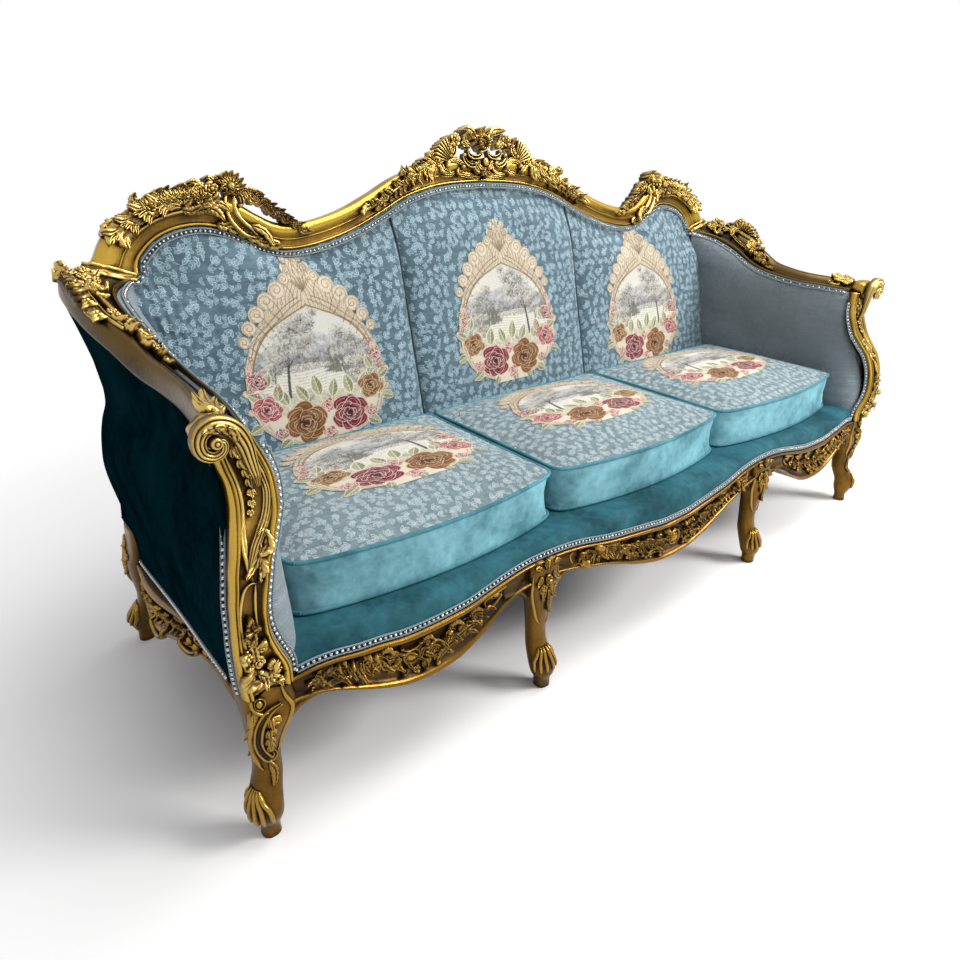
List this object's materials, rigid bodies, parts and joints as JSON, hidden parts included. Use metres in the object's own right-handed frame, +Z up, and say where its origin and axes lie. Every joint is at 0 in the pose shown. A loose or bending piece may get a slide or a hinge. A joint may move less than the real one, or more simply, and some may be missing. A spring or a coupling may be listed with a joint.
{
  "type": "cabriole sofa",
  "caption": "Carved giltwood sofa on cabriole legs, with a shaped crest rail, scrolled arms, panelled upholstered back and loose seat cushions that lift off",
  "frame": {"origin": "on the floor, under the middle of the sofa's bounding box", "axes": "+X to the sitter's left, which is the viewer's right, +Y to the back, +Z up"},
  "size_m": [2.2, 0.8062, 1.169],
  "materials": {
    "gilt_crest": "gold leaf, rubbed, over carved hardwood",
    "gilt_arm": "gold leaf, rubbed, over carved hardwood",
    "gilt_leg": "gold leaf, rubbed, over carved hardwood",
    "gilt_apron": "gold leaf, rubbed, over carved hardwood",
    "gilt_carving": "bright gold leaf with a brown patina in the hollows",
    "hardwood": "plain sawn hardwood, hidden",
    "webbing": "woven jute straps",
    "cambric": "thin black cambric",
    "deck_velvet": "teal velvet",
    "cushion_jacquard": "light blue figured jacquard with teal piping",
    "back_jacquard": "light blue figured jacquard",
    "arm_jacquard": "grey-blue figured jacquard",
    "dark_velvet": "dark teal velvet"
  },
  "bodies": {
    "frame": {"crest_rail": "gilt_crest", "arm_rail_left": "gilt_arm", "arm_rail_right": "gilt_arm", "arm_post_left": "gilt_arm", "arm_post_right": "gilt_arm", "front_leg_left": "gilt_leg", "front_leg_right": "gilt_leg", "front_middle_leg_left": "gilt_leg", "front_middle_leg_right": "gilt_leg", "rear_leg_left": "gilt_leg", "rear_leg_right": "gilt_leg", "rear_middle_leg_left": "gilt_leg", "rear_middle_leg_right": "gilt_leg", "front_apron_middle": "gilt_apron", "front_apron_left": "gilt_apron", "front_apron_right": "gilt_apron", "side_apron_left": "gilt_apron", "side_apron_right": "gilt_apron", "front_seat_rail": "hardwood", "side_seat_rail_left": "hardwood", "side_seat_rail_right": "hardwood", "rear_seat_rail": "hardwood", "cross_rail_left": "hardwood", "cross_rail_right": "hardwood", "front_corner_block_left": "hardwood", "front_corner_block_right": "hardwood", "rear_corner_block_left": "hardwood", "rear_corner_block_right": "hardwood", "seat_webbing": "webbing", "dust_cover": "cambric", "seat_deck": "deck_velvet", "inside_back_left": "back_jacquard", "inside_back_middle": "back_jacquard", "inside_back_right": "back_jacquard", "inside_arm_left": "arm_jacquard", "inside_arm_right": "arm_jacquard", "outside_arm_left": "dark_velvet", "outside_arm_right": "dark_velvet", "outside_back": "dark_velvet", "back_stile_left": "hardwood", "back_stile_right": "hardwood", "back_upright_left": "hardwood", "back_upright_right": "hardwood", "back_tack_rail": "hardwood", "crest_cartouche": "gilt_carving", "shoulder_carving_left": "gilt_carving", "shoulder_carving_right": "gilt_carving", "arm_carving_left": "gilt_carving", "arm_carving_right": "gilt_carving", "post_carving_left": "gilt_carving", "post_carving_right": "gilt_carving"},
    "cushion_left": {"seat_cushion_left": "cushion_jacquard"},
    "cushion_middle": {"seat_cushion_middle": "cushion_jacquard"},
    "cushion_right": {"seat_cushion_right": "cushion_jacquard"}
  },
  "joints": [
    {"name": "lift_cushion_left", "type": "slide", "parent": "frame", "child": "cushion_left", "axis": [0, 0, 1], "range_m": [0, 0.3]},
    {"name": "lift_cushion_middle", "type": "slide", "parent": "frame", "child": "cushion_middle", "axis": [0, 0, 1], "range_m": [0, 0.3]},
    {"name": "lift_cushion_right", "type": "slide", "parent": "frame", "child": "cushion_right", "axis": [0, 0, 1], "range_m": [0, 0.3]}
  ]
}
